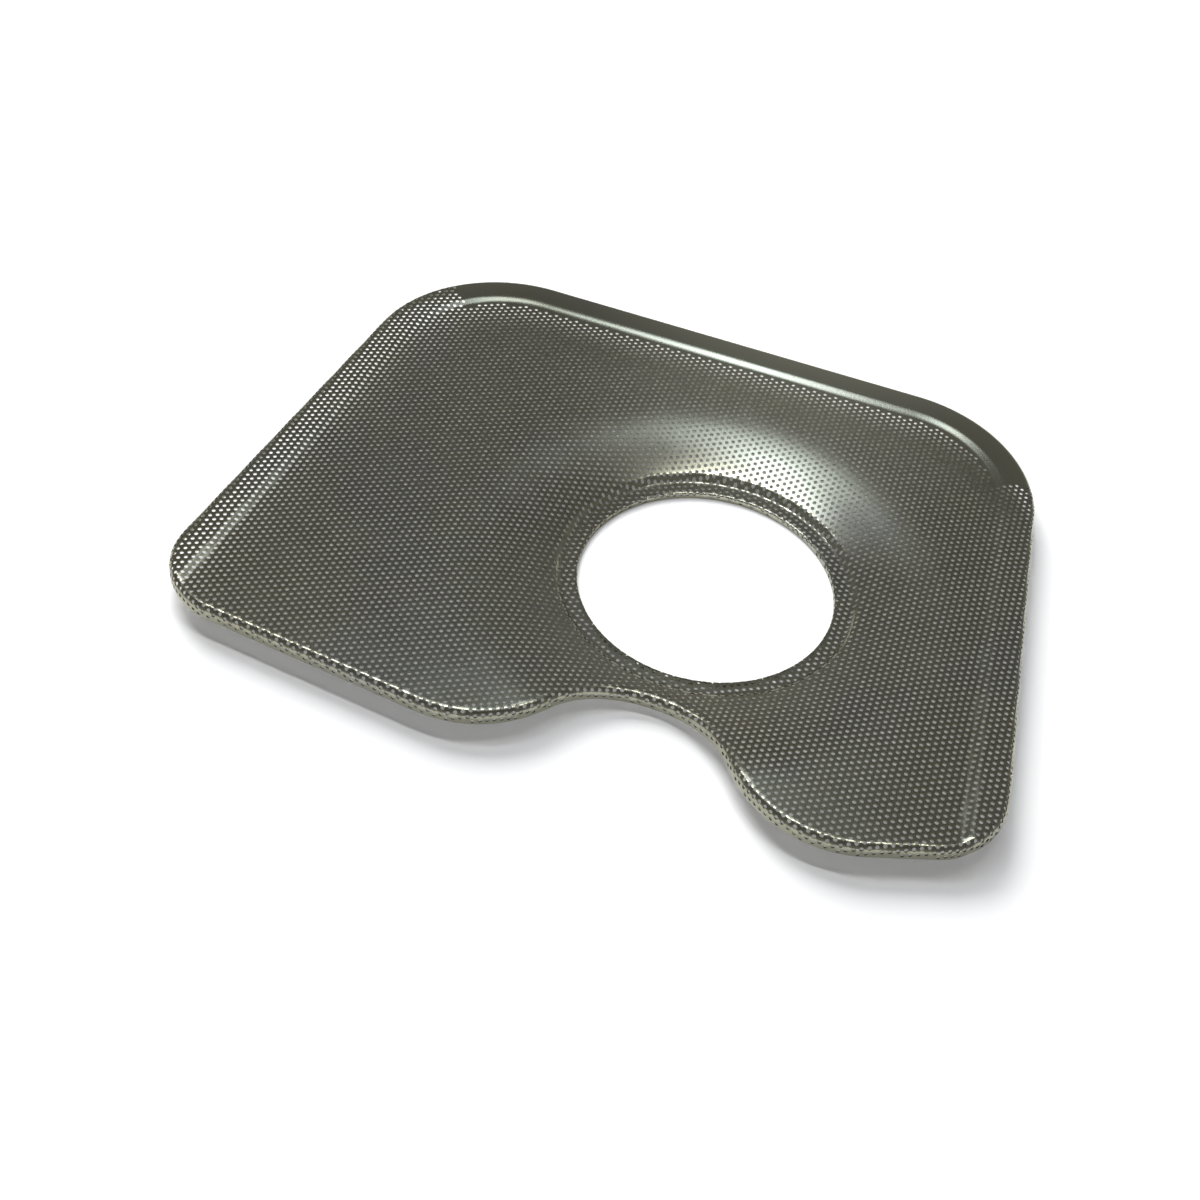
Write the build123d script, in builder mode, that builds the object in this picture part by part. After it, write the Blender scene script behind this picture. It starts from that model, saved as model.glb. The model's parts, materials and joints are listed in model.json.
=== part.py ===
"""Dishwasher filter plate: one pressed sheet of perforated stainless steel.

The origin lies on the axis of the round filter hole, level with the foot of its
collar, on which the plate stands. +X points right, +Y points to the back, +Z points up.
"""

import os
from math import acos, atan2, cos, degrees, hypot, radians, sin, tan

from build123d import *

# Sheet, and the outside radius of the fold at its edge
sheet = 0.5
fold_r = 2.6

# Plan: a trapezoid with round corners, wider at the front
back_width = 253.0
front_width = 296.0
depth = 215.0
back_corner_r = 55.0
front_corner_r = 27.0

# Filter hole: its axis from the back edge and from the plate's centre line
hole_d = 92.0
hole_from_back = 124.5
hole_from_centre = 27.0

# Collar turned down at the hole's edge, below the top of the ring, and its outside radius
collar_height = 2.4
collar_fold_r = 0.7

# Seat ring around the hole, and the step that rises from it
ring_width = 6.0
ring_step_height = 2.4
ring_step_angle = 50.0
ring_foot_r = 1.2
ring_brow_r = 1.8

# Floor above the ring, and the level strip between the funnel and the right border
floor_height = 9.5
funnel_gap = 3.4

# Front edge: two lobes beside a notch that lies in front of the hole, and the gap
# between the right lobe and the right side
lobe_r = 42.0
lobe_from_side = 9.9
lobe_reach = 99.0
notch_from_axis = 63.6

# Raised border along the two sides and the back, out from the foot of its step
border_width = 14.0
border_rise = 1.0
border_angle = 18.0
border_foot_r = 3.0
border_brow_r = 4.0

# Lip turned down at the edge: its lower rim below the surface beside it
lip_height = 5.0

# Perforation: fine round holes in a staggered pattern, cut here as a grid of fewer and
# wider openings, which keep clear of the folds and steps by the margin
perforation_d = 1.45
perforation_pitch = 2.5
perforation_thinning = 12
perforation_widening = 4
perforation_margin = 6.0

# Derived places
centre_x = -hole_from_centre
back_y = hole_from_back
front_y = hole_from_back - depth
side_lean = atan2((front_width - back_width) / 2, depth)
ring_z = collar_height
floor_z = ring_z + floor_height
border_z = floor_z + border_rise
overrun = 2 * border_width
reach = front_width + depth


def side_x(side, y, inset):
    """X of the left (-1) or right (1) side at y, moved in from it by inset."""
    half = back_width / 2 + (back_y - y) * tan(side_lean) - inset / cos(side_lean)
    return centre_x + side * half


funnel_reach = side_x(1, 0, border_width + funnel_gap) * cos(side_lean)

# Round stretches of the outline: centre x, centre y, radius
back_turn_y = back_y - back_corner_r
front_turn_y = front_y + front_corner_r
lobe_y = lobe_r - lobe_reach
lobe_from_axis = side_x(1, lobe_y, lobe_r + lobe_from_side)
notch_fall = lobe_y + notch_from_axis
notch_r = (lobe_from_axis**2 + notch_fall**2 - lobe_r**2) / (2 * (lobe_r - notch_fall))
notch_y = -notch_from_axis - notch_r
back_left = (side_x(-1, back_turn_y, back_corner_r), back_turn_y, back_corner_r)
back_right = (side_x(1, back_turn_y, back_corner_r), back_turn_y, back_corner_r)
front_left = (side_x(-1, front_turn_y, front_corner_r), front_turn_y, front_corner_r)
front_right = (side_x(1, front_turn_y, front_corner_r), front_turn_y, front_corner_r)
left_lobe = (-lobe_from_axis, lobe_y, lobe_r)
right_lobe = (lobe_from_axis, lobe_y, lobe_r)


def facing(start, end):
    """Direction in degrees that the straight edge between two convex turns faces."""
    x0, y0, r0 = start
    x1, y1, r1 = end
    return degrees(atan2(y1 - y0, x1 - x0) - acos((r0 - r1) / hypot(x1 - x0, y1 - y0)))


def turn(circle, start, end, inset):
    """Convex turn of the outline, counter-clockwise between two directions."""
    x, y, r = circle
    return CenterArc((x, y), r - inset, start, (end - start) % 360)


def outline(inset):
    """Plan of the plate, moved in from its edge by inset."""
    back = facing(back_right, back_left)
    left = facing(back_left, front_left)
    left_front = facing(front_left, left_lobe)
    right_front = facing(right_lobe, front_right)
    right = facing(front_right, back_right)
    meet = degrees(atan2(lobe_y - notch_y, lobe_from_axis))
    with BuildSketch() as plan:
        with BuildLine():
            arc_1 = turn(back_right, right, back, inset)
            arc_2 = turn(back_left, back, left, inset)
            arc_3 = turn(front_left, left, left_front, inset)
            arc_4 = turn(left_lobe, left_front, -meet, inset)
            CenterArc((0, notch_y), notch_r + inset, 180 - meet, 2 * meet - 180)
            arc_5 = turn(right_lobe, 180 + meet, right_front, inset)
            arc_6 = turn(front_right, right_front, right, inset)
            Line(arc_1 @ 1, arc_2 @ 0)
            Line(arc_2 @ 1, arc_3 @ 0)
            Line(arc_3 @ 1, arc_4 @ 0)
            Line(arc_5 @ 1, arc_6 @ 0)
            Line(arc_6 @ 1, arc_1 @ 0)
        make_face()
    return plan.sketch


def sunk(corner, before, after, inset):
    """Corner between two slopes in degrees, moved in under the surface by inset."""
    middle = radians((before + after) / 2)
    way = Vector(sin(middle), -cos(middle))
    return corner + way * (inset / cos(radians((after - before) / 2)))


def funnel_section(inset):
    """Section under the ring, its step, the funnel and the floor, out from the collar."""
    foot = Vector(hole_d / 2 + ring_width, ring_z)
    brow = foot + Vector(ring_step_height / tan(radians(ring_step_angle)), ring_step_height)
    lip = Vector(funnel_reach, floor_z)
    funnel_slope = 2 * degrees(atan2(lip.Y - brow.Y, lip.X - brow.X))
    rim = sunk(Vector(hole_d / 2, ring_z), 90, 0, inset)
    foot = sunk(foot, 0, ring_step_angle, inset)
    brow = sunk(brow, ring_step_angle, funnel_slope, inset)
    lip = sunk(lip, 0, 0, inset)
    end = Vector(reach, lip.Y)
    bend_r = (lip - brow).length ** 2 / (2 * (lip.Y - brow.Y))
    with BuildSketch() as section:
        with BuildLine():
            Polyline(rim, foot, brow)
            RadiusArc(brow, lip, bend_r)
            Polyline(lip, end, (end.X, -reach), (rim.X, -reach), rim)
        make_face()
        fillet(section.vertices().sort_by_distance(rim)[0], collar_fold_r - inset)
        fillet(section.vertices().sort_by_distance(foot)[0], ring_foot_r + inset)
        fillet(section.vertices().sort_by_distance(brow)[0], ring_brow_r - inset)
    return section.sketch


def border_section(inset):
    """Section under the raised border and its step, outwards from the floor."""
    run = border_rise / tan(radians(border_angle))
    start = sunk(Vector(-funnel_gap / 2, floor_z), 0, 0, inset)
    foot = sunk(Vector(0, floor_z), 0, border_angle, inset)
    brow = sunk(Vector(run, border_z), border_angle, 0, inset)
    end = sunk(Vector(overrun, border_z), 0, 0, inset)
    with BuildSketch() as section:
        with BuildLine():
            Polyline(start, foot, brow, end, (end.X, -reach), (start.X, -reach), start)
        make_face()
        fillet(section.vertices().sort_by_distance(foot)[0], border_foot_r + inset)
        fillet(section.vertices().sort_by_distance(brow)[0], border_brow_r - inset)
    return section.sketch


def border_path():
    """Line of the border's step: up the left side, along the back, down the right."""
    step_y = back_y - border_width
    end_y = -lobe_reach - overrun
    corners = [(side_x(side, step_y, border_width), step_y) for side in (-1, 1)]
    ends = [(side_x(side, end_y, border_width), end_y) for side in (-1, 1)]
    with BuildLine() as path:
        FilletPolyline(ends[0], *corners, ends[1], radius=back_corner_r - border_width)
    return path.line


def upper_edges(solid):
    """Upper edges of the upright walls of a solid."""
    walls = solid.faces().filter_by(lambda face: abs(face.normal_at().Z) < 0.01)
    tops = []
    for edge in walls.edges():
        if abs(edge.tangent_at(0.5).Z) < 0.9 and edge.center().Z > ring_z:
            tops.append(edge)
    return tops


def under_surface(inset):
    """Solid under the pressed surface, past the plate's edge, moved in by inset."""
    line = border_path()
    with BuildPart() as under:
        with BuildSketch(Plane.XZ):
            add(funnel_section(inset))
        revolve(axis=Axis.Z)
        with BuildSketch(Plane(line @ 0, x_dir=(line % 0).rotate(Axis.Z, 90), z_dir=line % 0)):
            add(border_section(inset))
        sweep(path=line)
    return under.part


def pressed_form(inset):
    """Solid under the pressed surface and inside its fold, moved in by inset."""
    with BuildPart() as form:
        with BuildSketch(Plane.XY.offset(-inset)):
            add(outline(inset))
        extrude(amount=2 * border_z)
        add(under_surface(inset), mode=Mode.INTERSECT)
        fillet(upper_edges(form), fold_r - inset)
    return form.part


def perforation_places():
    """Centres of the cut holes, clear of the ring's step, the border's step and the fold."""
    pitch = perforation_pitch * perforation_thinning
    column = pitch * cos(radians(30))
    field = outline(fold_r + perforation_margin).face()
    step = border_path()
    ring_keep_out = hole_d / 2 + ring_width + ring_step_height + perforation_margin
    places = []
    for i in range(-int(reach / column), int(reach / column)):
        for j in range(-int(reach / pitch), int(reach / pitch)):
            place = Vector(i * column, (j + i % 2 / 2) * pitch)
            if place.length > ring_keep_out and field.is_inside(place):
                if step.distance_to(Vertex(place)) > perforation_margin:
                    places.append(place)
    return places


with BuildPart() as filter_plate:
    add(pressed_form(0))
    add(pressed_form(sheet), mode=Mode.SUBTRACT)
    with Locations((0, 0, -lip_height)):
        add(under_surface(0), mode=Mode.SUBTRACT)
    with BuildSketch():
        with Locations(*perforation_places()):
            Circle(perforation_widening * perforation_d / 2)
    extrude(amount=2 * border_z, mode=Mode.SUBTRACT)

os.makedirs("parts", exist_ok=True)
filter_plate.part.label = "filter_plate"
export_step(filter_plate.part, "parts/filter_plate.step")
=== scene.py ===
"""Dishwasher filter plate: the perforated pressed sheet, its steel and a plain stage.

Sizes are in millimetres in the plan of the sheet and in metres in the scene. The origin
lies on the axis of the filter hole, level with the foot of its collar.
"""

import json
import math

import bpy
import numpy as np
from mathutils import Matrix, Vector
from mathutils.geometry import delaunay_2d_cdt


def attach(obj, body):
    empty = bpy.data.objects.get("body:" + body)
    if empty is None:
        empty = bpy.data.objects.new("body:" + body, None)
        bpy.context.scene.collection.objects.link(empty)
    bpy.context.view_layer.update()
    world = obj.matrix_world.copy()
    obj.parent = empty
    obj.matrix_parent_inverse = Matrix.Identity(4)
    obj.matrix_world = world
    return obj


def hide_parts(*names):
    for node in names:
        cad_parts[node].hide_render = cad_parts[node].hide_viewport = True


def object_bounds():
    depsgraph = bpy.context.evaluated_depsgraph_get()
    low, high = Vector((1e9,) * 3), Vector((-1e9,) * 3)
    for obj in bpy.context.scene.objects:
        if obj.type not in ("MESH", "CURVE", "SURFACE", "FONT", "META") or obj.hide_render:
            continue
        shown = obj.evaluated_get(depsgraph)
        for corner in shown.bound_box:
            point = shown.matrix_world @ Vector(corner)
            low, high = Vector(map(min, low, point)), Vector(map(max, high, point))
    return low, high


bl_info = {
    "name": "Filter plate",
    "version": (1, 0, 0),
    "blender": (4, 5, 0),
    "location": "View3D > Sidebar > Filter plate",
    "description": "Perforated pressed filter plate of a dishwasher on a pale table",
    "category": "Object",
}

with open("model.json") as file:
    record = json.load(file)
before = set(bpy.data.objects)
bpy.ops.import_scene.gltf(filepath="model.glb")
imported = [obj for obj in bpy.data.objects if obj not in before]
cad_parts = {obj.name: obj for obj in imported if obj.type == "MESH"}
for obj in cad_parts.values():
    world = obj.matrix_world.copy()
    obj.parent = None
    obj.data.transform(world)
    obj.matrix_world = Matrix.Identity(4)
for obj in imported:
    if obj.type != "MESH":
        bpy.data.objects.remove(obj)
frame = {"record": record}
CAD_LOW, CAD_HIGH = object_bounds()
NODE = "filter_plate"
MM = 0.001
MOUNTS = {mount["name"]: mount for mount in frame["record"]["mounts"]}
FILTER_HOLE = MOUNTS["filter_hole"]["dims"]
RING_Z = MOUNTS["ring_seat"]["pos_m"][2] / MM
BACK_Y = CAD_HIGH.y / MM
BORDER_Z = CAD_HIGH.z / MM

# Smallest differences that count, against the rounding of numbers
SLACK = 1e-6
TINY = 1e-9

# Field of the perforation from the origin, in millimetres, and the share of the pitch by
# which its staggered columns stand apart
FIELD_REACH = 200.0
COLUMN_SHARE = math.cos(math.radians(30))

# Points of the flat blank, in millimetres: spacing along the rim, number of points at the
# filter hole's edge, metal kept between a bend's points and a hole, nearest two points
RIM_SPACING = 1.0
HOLE_EDGE_POINTS = 220
BEND_KEEP = 0.16
MERGE = 1e-4
FILL_HULL = 0

# Rows of points across the bends: the edge's fold, the collar's fold, and the steps of the
# seat ring and of the border, these two in millimetres out from the foot of the step
FOLD_ROWS = 7
COLLAR_ROWS = 5
RING_STEP_SPAN = (-0.7, 2.8)
RING_STEP_ROWS = 6
BORDER_STEP_ROWS = (-0.8, 0.0, 0.8, 1.55, 2.3, 3.1, 3.9)
BORDER_ROW_PLAY = 0.2

# Colour sockets of a Mix node
MIX_UNDER, MIX_OVER, MIX_RESULT = 6, 7, 2

# Steel: middle of the painted sheen, a lighter tint that stands in for a brighter reflection
# towards the middle of the back, and where it begins and ends, in metres from there, spread of the
# roughness, and the rolled grain
SHEEN_MIDDLE = (0.0, 0.10, 0.012)
SHEEN_SPAN = (0.01, 0.10)
ROUGHNESS_SPREAD = 0.012
GRAIN_STRENGTH = 0.08
GRAIN_DEPTH = 0.0002


def length(name, description, default):
    """A length in millimetres, shown in the panel."""
    return bpy.props.FloatProperty(name=name, description=description, default=default, min=0.0)


def shade(name, description, default):
    """A colour, shown in the panel."""
    return bpy.props.FloatVectorProperty(
        name=name, description=description, default=default, subtype="COLOR", min=0.0, max=1.0
    )


class PlateSizes(bpy.types.PropertyGroup):
    """Sizes of the pressed sheet in millimetres."""

    sheet: length("Sheet", "Thickness of the sheet", 0.5)
    fold_r: length("Fold radius", "Outside radius of the fold at the edge", 2.6)
    back_width: length("Back width", "Width at the back edge before rounding", 253.0)
    front_width: length("Front width", "Width at the front edge before rounding", 296.0)
    depth: length("Depth", "Depth of the trapezoid", 215.0)
    back_corner_r: length("Back corner", "Radius of the back corners", 55.0)
    front_corner_r: length("Front corner", "Radius of the front corners", 27.0)
    hole_r: length("Filter hole", "Radius of the filter hole", FILTER_HOLE["r_mm"])
    hole_from_centre: length("Hole offset", "Filter hole from the plate's centre line", 27.0)
    collar_fold_r: length("Collar fold", "Outside radius of the fold at the collar", 0.7)
    ring_width: length("Seat ring", "Width of the seat ring", 6.0)
    ring_step_height: length("Ring step", "Height of the step around the seat ring", 2.4)
    ring_step_run: length("Ring step run", "Plan width of the step around the seat ring", 2.014)
    floor_height: length("Floor", "Floor above the seat ring", 9.5)
    funnel_r: length("Funnel", "Outer radius of the funnel", 93.99)
    lobe_r: length("Lobe radius", "Radius of the lobes of the front edge", 42.0)
    lobe_from_axis: length("Lobe offset", "Lobe centres from the hole's axis", 65.5)
    lobe_reach: length("Lobe reach", "Front of the lobes from the hole's axis", -CAD_LOW.y / MM)
    notch_from_axis: length("Notch", "Notch from the hole's axis", 63.6)
    border_width: length("Border", "Width of the raised border", 14.0)
    border_run: length("Border step", "Plan width of the border's step", 3.078)
    lip: length("Lip", "Lower rim of the lip below the surface beside it", 5.0)


class PerforationSizes(bpy.types.PropertyGroup):
    """Sizes of the perforation in millimetres."""

    hole_d: length("Hole", "Diameter of a perforation hole", 1.45)
    pitch: length("Pitch", "Distance between neighbouring holes", 2.5)
    sides: bpy.props.IntProperty(name="Sides", description="Corners of a hole", default=10, min=6)
    bridge: length("Bridge", "Least metal between a hole and a cut edge", 0.3)


class SteelLook(bpy.types.PropertyGroup):
    """Colours and gloss of the stainless sheet."""

    tone: shade("Tone", "Main colour of the steel", (0.32, 0.32, 0.245))
    warm: shade("Warm tint", "Brownish patches", (0.32, 0.305, 0.225))
    cool: shade("Cool tint", "Violet patches", (0.30, 0.30, 0.255))
    # Light tint: painted sheen, a lighter colour that stands in for a brighter reflection towards
    # the middle of the back
    light: shade("Light tint", "Cleaner zone towards the middle of the back", (0.52, 0.52, 0.41))
    roughness: bpy.props.FloatProperty(
        name="Roughness", description="Mean roughness", default=0.22, subtype="FACTOR", min=0, max=1
    )


class StageLook(bpy.types.PropertyGroup):
    """Table and camera."""

    table: shade("Table", "Colour of the table", (0.93, 0.93, 0.93))
    lens: bpy.props.FloatProperty(
        name="Lens", description="Focal length", default=51.0, unit="CAMERA"
    )


def rounded_section(corners, radii, steps=6):
    """Points of a section line whose inner corners are rounded by the radii."""
    points = [np.array(corners[0], float)]
    for k, radius in enumerate(radii, start=1):
        before, here, after = (np.array(corners[k + move], float) for move in (-1, 0, 1))
        back = (before - here) / np.linalg.norm(before - here)
        on = (after - here) / np.linalg.norm(after - here)
        half = math.acos(np.clip(np.dot(back, on), -1, 1)) / 2
        start = here + back * radius / math.tan(half)
        centre = here + (back + on) / np.linalg.norm(back + on) * radius / math.sin(half)
        first = start - centre
        turn = math.pi - 2 * half
        sign = np.sign(back[1] * on[0] - back[0] * on[1])
        for step in range(steps + 1):
            a = sign * turn * step / steps
            spin = np.array([[math.cos(a), -math.sin(a)], [math.sin(a), math.cos(a)]])
            points.append(centre + spin @ first)
    points.append(np.array(corners[-1], float))
    return np.array(points)


class PressedForm:
    """Plan and height of the pressed sheet's upper face, in millimetres."""

    # Past the plate on every side
    FAR = 600.0
    # Keeps the collar's foot just off the table
    RIM_PLAY = 0.01
    # Radii at the foot and the brow of the two steps
    RING_ROUNDING = (1.2, 1.8)
    BORDER_ROUNDING = (5.0, 5.0)
    # Stretch of the funnel that the brow is rounded into, start of the funnel's own points
    # after the rounding and after the brow, and their number
    FUNNEL_AHEAD = 3.0
    AFTER_ROUNDING = 0.5
    AFTER_BROW = 1.2
    FUNNEL_POINTS = 60
    # Where the border's section takes over from the floor, out from the foot of its step
    BORDER_START = -2.0
    # Half the stretch over which the slope at the fold is taken
    SLOPE_PROBE = 0.3
    # Lean of the line where the plain border ends at the right
    PLAIN_END_LEAN = 0.4

    def __init__(self, sizes):
        self.sizes = sizes
        self.lean = math.atan2((sizes.front_width - sizes.back_width) / 2, sizes.depth)
        self.edges = self.plan_edges()
        self.funnel = self.funnel_section()
        self.border = self.border_section()
        self.path = self.border_path()

    def side_x(self, side, y, inset):
        """X of the left (-1) or right (1) side at y, moved in from it by inset."""
        s = self.sizes
        half = s.back_width / 2 + (BACK_Y - y) * math.tan(self.lean) - inset / math.cos(self.lean)
        return -s.hole_from_centre + side * half

    def plan_edges(self):
        """Lines and arcs of the outline, counter-clockwise from the back right corner."""
        s = self.sizes
        back_y = BACK_Y - s.back_corner_r
        front_y = BACK_Y - s.depth + s.front_corner_r
        lobe_y = s.lobe_r - s.lobe_reach
        fall = lobe_y + s.notch_from_axis
        notch_r = (s.lobe_from_axis**2 + fall**2 - s.lobe_r**2) / (2 * (s.lobe_r - fall))
        notch = np.array((0.0, -s.notch_from_axis - notch_r))

        def corner(side, y, radius):
            return np.array((self.side_x(side, y, radius), y)), radius

        turns = [
            corner(1, back_y, s.back_corner_r),
            corner(-1, back_y, s.back_corner_r),
            corner(-1, front_y, s.front_corner_r),
            (np.array((-s.lobe_from_axis, lobe_y)), s.lobe_r),
            (np.array((s.lobe_from_axis, lobe_y)), s.lobe_r),
            corner(1, front_y, s.front_corner_r),
        ]
        count, left_lobe, right_lobe = len(turns), 3, 4

        def facing(start, end):
            (p, r), (q, t) = start, end
            way = q - p
            return math.atan2(way[1], way[0]) - math.acos((r - t) / np.linalg.norm(way))

        meet = math.atan2(lobe_y - notch[1], s.lobe_from_axis)
        leave = [facing(turns[k], turns[(k + 1) % count]) for k in range(count)]
        arrive = [leave[k - 1] for k in range(count)]
        leave[left_lobe], arrive[right_lobe] = -meet, math.pi + meet
        edges = []
        for k, (centre, radius) in enumerate(turns):
            sweep = (leave[k] - arrive[k]) % (2 * math.pi)
            edges.append(("arc", centre, radius, arrive[k], sweep, 1))
            if k == left_lobe:
                edges.append(("arc", notch, notch_r, math.pi - meet, 2 * meet - math.pi, -1))
                continue
            normal = np.array((math.cos(leave[k]), math.sin(leave[k])))
            after, after_r = turns[(k + 1) % count]
            edges.append(("line", centre + normal * radius, after + normal * after_r, normal))
        return edges

    def outline(self, spacing):
        """Points along the outline and the directions that they face."""
        places, normals = [], []
        for edge in self.edges:
            if edge[0] == "line":
                _, start, end, normal = edge
                count = max(2, int(np.linalg.norm(end - start) / spacing))
                for k in range(count):
                    places.append(start + (end - start) * k / count)
                    normals.append(normal)
            else:
                _, centre, radius, start, sweep, side = edge
                count = max(2, int(abs(sweep) * radius / spacing))
                for k in range(count):
                    a = start + sweep * k / count
                    way = np.array((math.cos(a), math.sin(a)))
                    places.append(centre + way * radius)
                    normals.append(way * side)
        return np.array(places), np.array(normals)

    def nearest_edge(self, points):
        """Distance out from the outline, nearest place on it and the way it faces there."""
        best = np.full(len(points), self.FAR)
        foot = np.zeros_like(points)
        facing = np.zeros_like(points)
        for edge in self.edges:
            if edge[0] == "line":
                _, start, end, normal = edge
                span = np.linalg.norm(end - start)
                along = (points - start) @ ((end - start) / span)
                out = (points - start) @ normal
                inside = (along >= -SLACK) & (along <= span + SLACK)
                normals = np.broadcast_to(normal, points.shape)
            else:
                _, centre, radius, start, sweep, side = edge
                away = points - centre
                reach = np.maximum(np.linalg.norm(away, axis=1), TINY)
                angle = np.arctan2(away[:, 1], away[:, 0])
                turned = (angle - start if sweep > 0 else start - angle) % (2 * math.pi)
                inside = turned <= abs(sweep) + TINY
                out = side * (reach - radius)
                normals = side * away / reach[:, None]
            better = inside & (np.abs(out) < np.abs(best))
            best[better] = out[better]
            facing[better] = normals[better]
            foot[better] = points[better] - normals[better] * out[better, None]
        return best, foot, facing

    def funnel_section(self):
        """Radius and height of the seat ring, its step, the funnel and the floor."""
        s = self.sizes
        foot = (s.hole_r + s.ring_width, RING_Z)
        brow = (foot[0] + s.ring_step_run, foot[1] + s.ring_step_height)
        lip = (s.funnel_r, RING_Z + s.floor_height)
        rise, run = lip[1] - brow[1], lip[0] - brow[0]
        bend = (rise**2 + run**2) / (2 * rise)
        slope = 2 * math.atan2(rise, run)
        ahead = (
            brow[0] + self.FUNNEL_AHEAD * math.cos(slope),
            brow[1] + self.FUNNEL_AHEAD * math.sin(slope),
        )
        ring = rounded_section([(0.0, RING_Z), foot, brow, ahead], self.RING_ROUNDING)[:-1]
        begin = max(ring[-1][0] + self.AFTER_ROUNDING, brow[0] + self.AFTER_BROW)
        far = np.linspace(begin, lip[0], self.FUNNEL_POINTS)
        arc = lip[1] - bend + np.sqrt(np.maximum(bend**2 - (lip[0] - far) ** 2, 0))
        flat = np.array([(self.FAR, lip[1])])
        return np.vstack([ring, np.column_stack([far, arc]), flat])

    def border_section(self):
        """Distance outwards and height of the border's step."""
        s = self.sizes
        corners = [
            (-self.FAR, RING_Z + s.floor_height),
            (0.0, RING_Z + s.floor_height),
            (s.border_run, BORDER_Z),
            (self.FAR, BORDER_Z),
        ]
        return rounded_section(corners, self.BORDER_ROUNDING)

    def border_path(self):
        """Corner centres and corner radius of the line at the foot of the border's step."""
        s = self.sizes
        radius = s.back_corner_r - s.border_width
        y = BACK_Y - s.border_width - radius
        centres = [np.array((self.side_x(k, y, s.border_width + radius), y)) for k in (-1, 1)]
        return centres, radius

    def beyond_border(self, points):
        """Distance outwards from the foot of the border's step."""
        (left, right), radius = self.path
        leans = []
        for side, centre in ((-1, left), (1, right)):
            normal = np.array((side * math.cos(self.lean), math.sin(self.lean)))
            leans.append((points - centre) @ normal - radius)
        back = points[:, 1] - left[1] - radius
        out = np.maximum(np.maximum(leans[0], leans[1]), back)
        for side, centre in ((-1, left), (1, right)):
            away = points - centre
            angle = np.arctan2(away[:, 1], side * away[:, 0])
            turning = (angle > self.lean) & (angle < math.pi / 2)
            out = np.where(turning, np.linalg.norm(away, axis=1) - radius, out)
        return out

    def height(self, points):
        """Height of the upper face before the edge is folded."""
        low = np.interp(np.linalg.norm(points, axis=1), self.funnel[:, 0], self.funnel[:, 1])
        out = self.beyond_border(points)
        high = np.interp(out, self.border[:, 0], self.border[:, 1])
        return np.where(out > self.BORDER_START, np.maximum(low, high), low)

    def fold(self, foot, facing):
        """Slope at the fold, height of its centre and blank distances of its start and end."""
        radius = self.sizes.fold_r
        inner = foot - facing * radius
        probe = facing * self.SLOPE_PROBE
        rise = self.height(inner + probe) - self.height(inner - probe)
        slope = np.arctan2(rise, 2 * self.SLOPE_PROBE)
        centre = self.height(inner) - radius / np.cos(slope)
        start = -radius * (1 + np.sin(slope))
        end = start + radius * (math.pi / 2 + slope)
        return slope, centre, start, end

    def lip_end(self, foot, facing):
        """Blank distance of the lip's lower rim."""
        _, centre, _, end = self.fold(foot, facing)
        return end + centre - self.height(foot) + self.sizes.lip

    def collar_start(self):
        """Radius where the seat ring turns down into the collar."""
        return self.sizes.hole_r + self.sizes.collar_fold_r

    def blank_hole_r(self):
        """Radius of the filter hole in the blank, before the collar is turned down."""
        fold = self.sizes.collar_fold_r
        return self.collar_start() - fold * math.pi / 2 - (RING_Z - fold) + self.RIM_PLAY

    def in_plain_band(self, points, keep):
        """Whether points lie on the unperforated border along the back."""
        (left, right), _ = self.path
        left_half = points[:, 1] - left[1] > left[0] - points[:, 0]
        right_half = points[:, 1] - right[1] > self.PLAIN_END_LEAN * (points[:, 0] - right[0])
        return (self.beyond_border(points) > -keep) & left_half & right_half

    def press(self, points):
        """Places of blank points on the upper face of the pressed sheet."""
        radius = self.sizes.fold_r
        out, foot, facing = self.nearest_edge(points)
        slope, centre, start, end = self.fold(foot, facing)
        pressed = np.column_stack([points, self.height(points)])
        angle = np.maximum(math.pi / 2 + slope - (out - start) / radius, 0)
        reach = radius * (np.cos(angle) - 1)
        level = centre + radius * np.sin(angle) - np.maximum(out - end, 0)
        folded = np.column_stack([foot + facing * reach[:, None], level])
        over = out > start
        pressed[over] = folded[over]
        self.turn_collar(points, pressed)
        return pressed

    def turn_collar(self, points, pressed):
        """Turns the blank's inner margin down into the collar."""
        fold = self.sizes.collar_fold_r
        away = np.linalg.norm(points, axis=1)
        along = self.collar_start() - away
        inner = along > 0
        angle = np.minimum(along / fold, math.pi / 2)
        radius = self.collar_start() - fold * np.sin(angle)
        level = RING_Z - fold * (1 - np.cos(angle)) - np.maximum(along - fold * math.pi / 2, 0)
        turned = np.column_stack([points * (radius / np.maximum(away, TINY))[:, None], level])
        pressed[inner] = turned[inner]


def cell_centres(i, j, perforation):
    """Centres of the pattern's cells, in columns i and in rows j along Y."""
    column = perforation.pitch * COLUMN_SHARE
    return np.column_stack([i * column, (j + (i % 2) / 2) * perforation.pitch])


def nearest_columns(x, perforation):
    """Columns of the pattern that lie nearest to x."""
    return np.round(x / (perforation.pitch * COLUMN_SHARE)).astype(int)


def nearest_rows(i, y, perforation):
    """Rows of the pattern's columns i that lie nearest to y."""
    return np.round(y / perforation.pitch - (i % 2) / 2).astype(int)


def perforation_centres(form, perforation):
    """Centres of all the round holes in the blank."""
    columns = int(FIELD_REACH / (perforation.pitch * COLUMN_SHARE))
    rows = int(FIELD_REACH / perforation.pitch)
    i, j = np.meshgrid(np.arange(-columns, columns), np.arange(-rows, rows), indexing="ij")
    centres = cell_centres(i.ravel(), j.ravel(), perforation)
    out, foot, facing = form.nearest_edge(centres)
    keep = perforation.hole_d / 2 + perforation.bridge
    inside = out + keep < form.lip_end(foot, facing)
    clear = np.linalg.norm(centres, axis=1) > form.blank_hole_r() + keep
    return centres[inside & clear & ~form.in_plain_band(centres, keep)]


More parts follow.
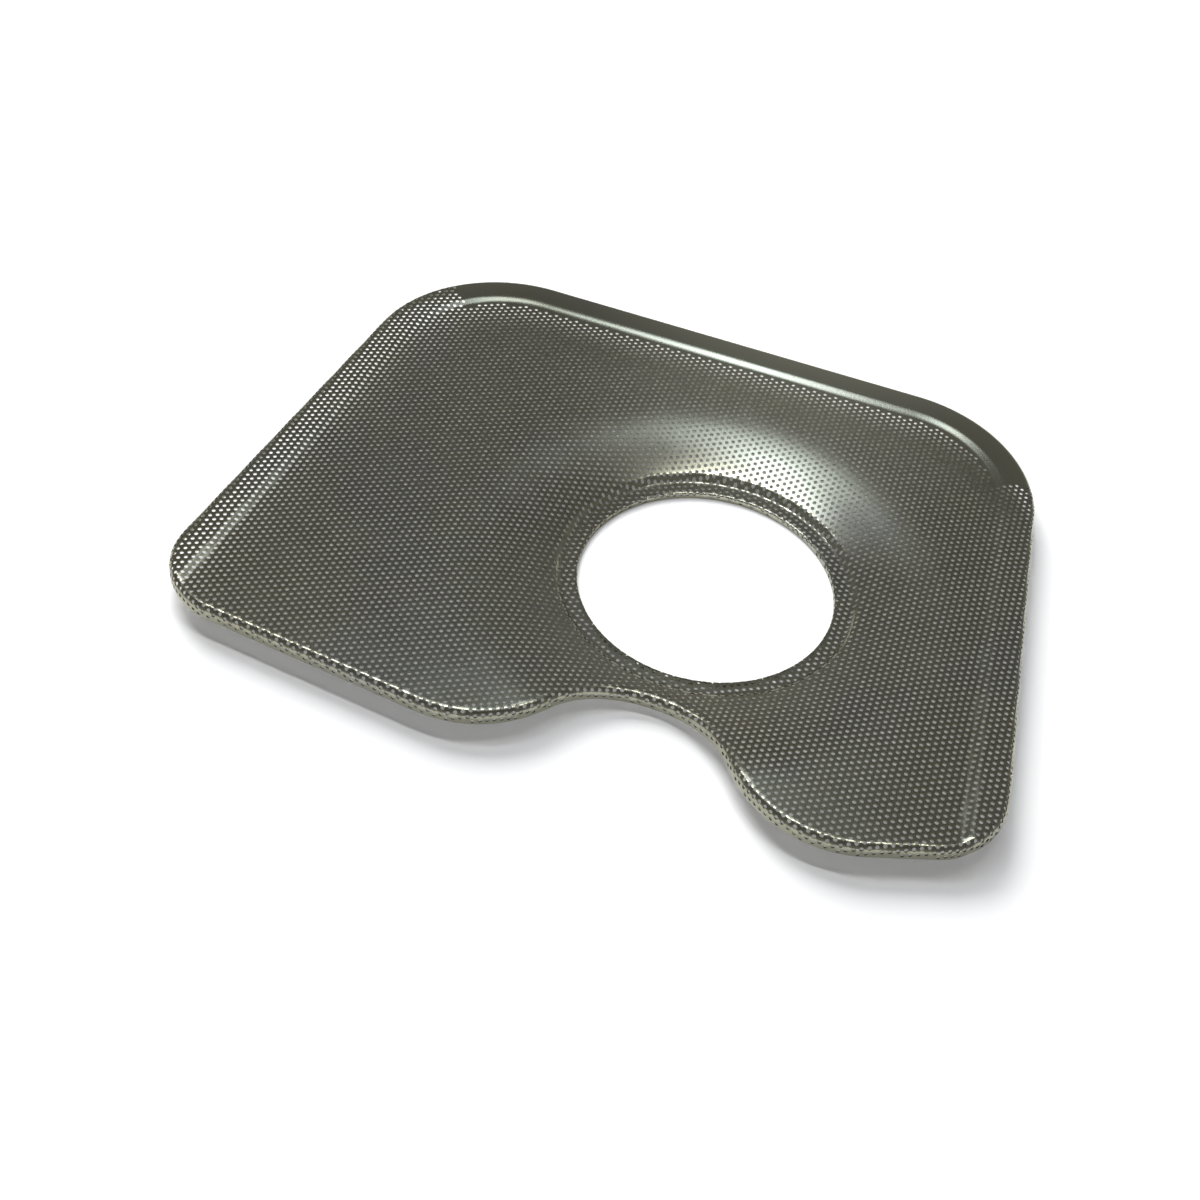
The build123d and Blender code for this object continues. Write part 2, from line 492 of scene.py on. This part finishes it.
def clear_of_holes(points, cells, perforation):
    """The points that lie in metal, clear of the holes in the cells."""
    reach = perforation.hole_d / 2 + BEND_KEEP
    free = np.ones(len(points), bool)
    base = nearest_columns(points[:, 0], perforation)
    for shift in (-1, 0, 1):
        i = base + shift
        j = nearest_rows(i, points[:, 1], perforation)
        away = points - cell_centres(i, j, perforation)
        near = np.hypot(away[:, 0], away[:, 1]) < reach
        there = np.array([cell in cells for cell in zip(i.tolist(), j.tolist())])
        free &= ~(near & there)
    return points[free]


def round_line(radius, count, start=0.0):
    """Points of a circle about the origin, the first one start steps round from +X."""
    turn = 2 * math.pi * (np.arange(count) + start) / count
    return np.column_stack([np.cos(turn), np.sin(turn)]) * radius


def bend_points(form, places, normals):
    """Rows of points along the folds and steps, where the sheet bends."""
    sizes = form.sizes
    _, _, start, end = form.fold(places, normals)
    lip_end = form.lip_end(places, normals)
    rows = [places + normals * ((end + lip_end) / 2)[:, None]]
    for share in np.linspace(0, 1, FOLD_ROWS):
        rows.append(places + normals * (start + (end - start) * share)[:, None])
    collar_bend = np.linspace(0, sizes.collar_fold_r * math.pi / 2, COLLAR_ROWS)
    ring_step = np.linspace(*RING_STEP_SPAN, RING_STEP_ROWS)
    radii = (*(form.collar_start() - collar_bend), *(sizes.hole_r + sizes.ring_width + ring_step))
    for radius in radii:
        rows.append(round_line(radius, int(2 * math.pi * radius)))
    for step in BORDER_STEP_ROWS:
        row = places - normals * (sizes.border_width - step)
        rows.append(row[np.abs(form.beyond_border(row) - step) < BORDER_ROW_PLAY])
    return np.vstack(rows)


def closed_loop(first, count):
    """Edges of a closed line of points that are numbered from first."""
    return [(first + k, first + (k + 1) % count) for k in range(count)]


def blank_mesh(form, perforation):
    """Flat perforated blank: its points and the triangles between the holes."""
    centres = perforation_centres(form, perforation)
    i = nearest_columns(centres[:, 0], perforation)
    j = nearest_rows(i, centres[:, 1], perforation)
    cells = set(zip(i.tolist(), j.tolist()))
    sides = perforation.sides
    ring = round_line(perforation.hole_d / 2, sides, start=0.5)
    holes = (centres[:, None, :] + ring[None]).reshape(-1, 2)

    places, normals = form.outline(RIM_SPACING)
    rim = places + normals * form.lip_end(places, normals)[:, None]
    hole_edge = round_line(form.blank_hole_r(), HOLE_EDGE_POINTS)
    bends = clear_of_holes(bend_points(form, places, normals), cells, perforation)
    points = np.vstack([rim, hole_edge, holes, bends])

    # Loop of each point: 0 the rim, 1 the filter hole's edge, then the perforation holes
    first = len(rim) + len(hole_edge)
    loop = np.full(len(points), -1)
    loop[: len(rim)] = 0
    loop[len(rim) : first] = 1
    loop[first : first + len(holes)] = 2 + np.repeat(np.arange(len(centres)), sides)
    order = np.zeros(len(points), int)
    order[: len(rim)] = np.arange(len(rim))
    edges = closed_loop(0, len(rim)) + closed_loop(len(rim), len(hole_edge))
    for k in range(len(centres)):
        edges += closed_loop(first + k * sides, sides)
    filled = delaunay_2d_cdt([Vector(p) for p in points.tolist()], edges, [], FILL_HULL, MERGE)
    return metal_of(filled, loop, order, len(rim))


def metal_of(filled, loop, order, rim_count):
    """Points and triangles of the filled blank, less those in a hole or outside the rim."""
    origin = np.array([source[0] if source else -1 for source in filled[3]])
    flat = np.array([tuple(p) for p in filled[0]])
    faces = np.array(filled[2])
    kind = np.where(origin >= 0, loop[origin], -1)
    place = np.where(origin >= 0, order[origin], 0)
    a, b, c = (kind[faces[:, k]] for k in range(3))
    p, q, r = (place[faces[:, k]] for k in range(3))
    one_loop = (a == b) & (b == c) & (a >= 0)
    inside_rim = (a == 0) & (((q - p) % rim_count) + ((r - q) % rim_count) < rim_count)
    return flat, faces[~one_loop | inside_rim]


def steel_material(look):
    """Stainless sheet: dark grey-olive metal with soft tints, a painted sheen towards the middle of
    the back and a fine rolled grain.
    """
    material = bpy.data.materials.new("stainless_sheet")
    material.use_nodes = True
    nodes, links = material.node_tree.nodes, material.node_tree.links
    shader = nodes["Principled BSDF"]
    shader.inputs["Metallic"].default_value = 1.0
    place = nodes.new("ShaderNodeTexCoord")

    def noise(scale, detail, seed):
        """Noise over the sheet, moved to a stretch of its own by the seed."""
        move = nodes.new("ShaderNodeMapping")
        move.inputs["Location"].default_value = (seed, seed * 0.7, 0.0)
        links.new(place.outputs["Object"], move.inputs["Vector"])
        texture = nodes.new("ShaderNodeTexNoise")
        texture.inputs["Scale"].default_value = scale
        texture.inputs["Detail"].default_value = detail
        links.new(move.outputs["Vector"], texture.inputs["Vector"])
        return texture.outputs["Fac"]

    def near(point):
        """Distance from a point."""
        away = nodes.new("ShaderNodeVectorMath")
        away.operation = "DISTANCE"
        away.inputs[1].default_value = point
        links.new(place.outputs["Object"], away.inputs[0])
        return away.outputs["Value"]

    def span(value, low, high, to_low, to_high):
        """Soft change from one level to another as the value goes from low to high."""
        ramp = nodes.new("ShaderNodeMapRange")
        ramp.interpolation_type = "SMOOTHSTEP"
        ramp.inputs["From Min"].default_value = low
        ramp.inputs["From Max"].default_value = high
        ramp.inputs["To Min"].default_value = to_low
        ramp.inputs["To Max"].default_value = to_high
        links.new(value, ramp.inputs["Value"])
        return ramp

    def tint(under, colour, amount):
        """A colour laid over another one, or over the main tone, by an amount."""
        mix = nodes.new("ShaderNodeMix")
        mix.data_type = "RGBA"
        links.new(amount.outputs["Result"], mix.inputs["Factor"])
        if under is None:
            mix.inputs[MIX_UNDER].default_value = (*look.tone, 1.0)
        else:
            links.new(under.outputs[MIX_RESULT], mix.inputs[MIX_UNDER])
        mix.inputs[MIX_OVER].default_value = (*colour, 1.0)
        return mix

    brownish = span(noise(scale=14.0, detail=2.0, seed=3.1), 0.45, 0.70, 0.0, 1.0)
    warm = tint(None, look.warm, brownish)
    violet = span(noise(scale=18.0, detail=2.0, seed=8.4), 0.48, 0.72, 0.0, 1.0)
    cool = tint(warm, look.cool, violet)
    # Painted sheen: the light tint laid over the steel near the middle of the back stands in for a
    # brighter reflection there
    painted_sheen = span(near(SHEEN_MIDDLE), *SHEEN_SPAN, 1.0, 0.0)
    light = tint(cool, look.light, painted_sheen)
    links.new(light.outputs[MIX_RESULT], shader.inputs["Base Color"])
    smooth, dull = look.roughness - ROUGHNESS_SPREAD, look.roughness + ROUGHNESS_SPREAD
    gloss = span(noise(scale=60.0, detail=3.0, seed=5.7), 0.3, 0.7, smooth, dull)
    links.new(gloss.outputs["Result"], shader.inputs["Roughness"])
    grain = nodes.new("ShaderNodeBump")
    grain.inputs["Strength"].default_value = GRAIN_STRENGTH
    grain.inputs["Distance"].default_value = GRAIN_DEPTH
    links.new(noise(scale=900.0, detail=2.0, seed=1.3), grain.inputs["Height"])
    links.new(grain.outputs["Normal"], shader.inputs["Normal"])
    return material


def mesh_piece(name, points, faces):
    """A new piece with its mesh in place, selected and active."""
    mesh = bpy.data.meshes.new(name)
    mesh.from_pydata(points.tolist(), [], faces.tolist())
    mesh.validate()
    piece = bpy.data.objects.new(name, mesh)
    bpy.context.scene.collection.objects.link(piece)
    bpy.ops.object.select_all(action="DESELECT")
    piece.select_set(True)
    bpy.context.view_layer.objects.active = piece
    return piece


class FILTERPLATE_OT_sheet(bpy.types.Operator):
    """Presses the perforated blank and gives it the sheet's thickness"""

    bl_idname = "filterplate.sheet"
    bl_label = "Perforated sheet"

    # Neighbouring sections of the one sheet, each with its right end in the blank
    SECTIONS = (
        ("sheet_left", -75.77),
        ("sheet_middle", 19.48),
        ("sheet_right", PressedForm.FAR),
    )
    # Bends sharper than this keep a crisp edge
    SMOOTH_ANGLE = math.radians(35)

    def execute(self, context):
        sizes = context.scene.plate_sizes
        form = PressedForm(sizes)
        flat, faces = blank_mesh(form, context.scene.perforation_sizes)
        if not len(faces):
            raise RuntimeError("the blank has no faces")
        points = form.press(flat) * MM
        steel = steel_material(context.scene.steel_look)
        across = flat[faces].mean(axis=1)[:, 0]
        start = -PressedForm.FAR
        for name, end in self.SECTIONS:
            chosen = faces[(across > start) & (across <= end)]
            used, local = np.unique(chosen, return_inverse=True)
            piece = mesh_piece(name, points[used], local.reshape(-1, 3))
            thick = piece.modifiers.new("sheet", "SOLIDIFY")
            thick.thickness = sizes.sheet * MM
            thick.offset = -1.0
            thick.use_quality_normals = True
            bpy.ops.object.modifier_apply(modifier=thick.name)
            bpy.ops.object.shade_smooth_by_angle(angle=self.SMOOTH_ANGLE)
            piece.data.materials.append(steel)
            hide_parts(NODE)
            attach(piece, "root")
            start = end
        return {"FINISHED"}


class FILTERPLATE_OT_stage(bpy.types.Operator):
    """Sets the table, the camera and the light"""

    bl_idname = "filterplate.stage"
    bl_label = "Table, camera and light"

    # Camera of the photo in the plate's own frame
    PLACE = (0.0612, -0.4208, 0.4320)
    RIGHT = (0.9405, 0.3257, 0.0972)
    UP = (-0.3013, 0.6668, 0.6816)
    SENSOR = 36.0
    CLIP = (0.01, 20.0)

    TABLE_SIZE = 6.0
    TABLE_ROUGHNESS = 0.8
    TABLE_GLOSS = 0.2

    # Grey of the room from the horizon, at 0, to straight overhead, at 1
    ROOM = ((0.0, 0.30), (0.35, 0.26), (0.55, 0.21), (0.70, 0.16), (1.0, 0.14))
    DAYLIGHT = (0.77, 0.87, 1.0)

    def execute(self, context):
        look = context.scene.stage_look
        self.table(look)
        self.camera(context, look)
        self.room(context)
        self.lamps()
        context.scene.view_settings.view_transform = "Standard"
        return {"FINISHED"}

    def table(self, look):
        """Pale table under the collar's foot."""
        bpy.ops.object.select_all(action="DESELECT")
        bpy.ops.mesh.primitive_plane_add(size=self.TABLE_SIZE, location=(0, 0, CAD_LOW.z))
        table = bpy.context.active_object
        table.name = "table"
        bpy.ops.object.transform_apply(location=True, rotation=True, scale=True)
        paint = bpy.data.materials.new("table_white")
        paint.use_nodes = True
        shader = paint.node_tree.nodes["Principled BSDF"]
        shader.inputs["Base Color"].default_value = (*look.table, 1.0)
        shader.inputs["Roughness"].default_value = self.TABLE_ROUGHNESS
        shader.inputs["Specular IOR Level"].default_value = self.TABLE_GLOSS
        table.data.materials.append(paint)

    def camera(self, context, look):
        """Camera at the photo's viewing angle."""
        data = bpy.data.cameras.new("camera")
        data.lens = look.lens
        data.sensor_width = self.SENSOR
        data.clip_start, data.clip_end = self.CLIP
        camera = bpy.data.objects.new("camera", data)
        right, up = Vector(self.RIGHT).normalized(), Vector(self.UP)
        up = (up - right * up.dot(right)).normalized()
        turn = Matrix((right, up, right.cross(up))).transposed()
        camera.matrix_world = Matrix.Translation(self.PLACE) @ turn.to_4x4()
        context.scene.collection.objects.link(camera)
        context.scene.camera = camera

    def room(self, context):
        """Grey surroundings that darken upwards."""
        world = bpy.data.worlds.new("room")
        world.use_nodes = True
        nodes, links = world.node_tree.nodes, world.node_tree.links
        way = nodes.new("ShaderNodeTexCoord")
        parts = nodes.new("ShaderNodeSeparateXYZ")
        links.new(way.outputs["Generated"], parts.inputs["Vector"])
        ramp = nodes.new("ShaderNodeValToRGB")
        links.new(parts.outputs["Z"], ramp.inputs["Fac"])
        stops = ramp.color_ramp.elements
        for place, _ in self.ROOM[1:-1]:
            stops.new(place)
        for stop, (place, level) in zip(stops, self.ROOM):
            stop.position = place
            stop.color = (level, level, level, 1.0)
        links.new(ramp.outputs["Color"], nodes["Background"].inputs["Color"])
        context.scene.world = world

    def lamps(self):
        """Panels that the funnel, the border's step and the front fold mirror."""
        window = self.lamp(
            "window", place=(-0.25, 0.40, 1.25), size=(0.40, 0.26), watts=1.1, spin=32.0
        )
        head = self.lamp(
            "window_head", place=(-0.14, 0.66, 1.22), size=(0.22, 0.26), watts=0.3, spin=14.0
        )
        for pane in (window, head):
            pane.data.color = self.DAYLIGHT
        self.lamp("front_strip", place=(-0.18, 0.165, 1.25), size=(1.20, 0.10), watts=6.0)
        # Soft light for the table and its shadow, which the metal does not mirror
        soft = self.lamp("back_left", place=(-2.10, 2.40, 2.30), size=(2.6, 2.6), watts=245.0)
        soft.visible_glossy = False

    def lamp(self, name, place, size, watts, spin=0.0):
        """A panel that faces the origin, turned about Z by spin in degrees."""
        data = bpy.data.lights.new(name, "AREA")
        data.shape = "RECTANGLE"
        data.size, data.size_y = size
        data.energy = watts
        lamp = bpy.data.objects.new(name, data)
        away = Vector(place).normalized()
        across = Matrix.Rotation(math.radians(spin), 3, "Z") @ Vector((1.0, 0.0, 0.0))
        across = (across - away * across.dot(away)).normalized()
        turn = Matrix((across, away.cross(across), away)).transposed()
        lamp.matrix_world = Matrix.Translation(place) @ turn.to_4x4()
        bpy.context.scene.collection.objects.link(lamp)
        return lamp


class FILTERPLATE_PT_panel(bpy.types.Panel):
    """Sizes, colours and steps of the filter plate"""

    bl_idname = "FILTERPLATE_PT_panel"
    bl_label = "Filter plate"
    bl_space_type = "VIEW_3D"
    bl_region_type = "UI"
    bl_category = "Filter plate"

    def draw(self, context):
        layout = self.layout
        for step in STEPS:
            layout.operator(step.bl_idname)
        for name, group in GROUPS.items():
            box = layout.box()
            for key in group.__annotations__:
                box.prop(getattr(context.scene, name), key)


STEPS = (FILTERPLATE_OT_sheet, FILTERPLATE_OT_stage)
GROUPS = {
    "plate_sizes": PlateSizes,
    "perforation_sizes": PerforationSizes,
    "steel_look": SteelLook,
    "stage_look": StageLook,
}
CLASSES = (*GROUPS.values(), *STEPS, FILTERPLATE_PT_panel)


def register():
    """Adds the classes and hangs each group of values on the scene."""
    for cls in CLASSES:
        bpy.utils.register_class(cls)
    for name, group in GROUPS.items():
        setattr(bpy.types.Scene, name, bpy.props.PointerProperty(type=group))


def unregister():
    """Takes off what register added."""
    for name in GROUPS:
        delattr(bpy.types.Scene, name)
    for cls in reversed(CLASSES):
        bpy.utils.unregister_class(cls)


def main():
    register()
    bpy.ops.filterplate.sheet()
    bpy.ops.filterplate.stage()


if __name__ == "__main__":
    main()
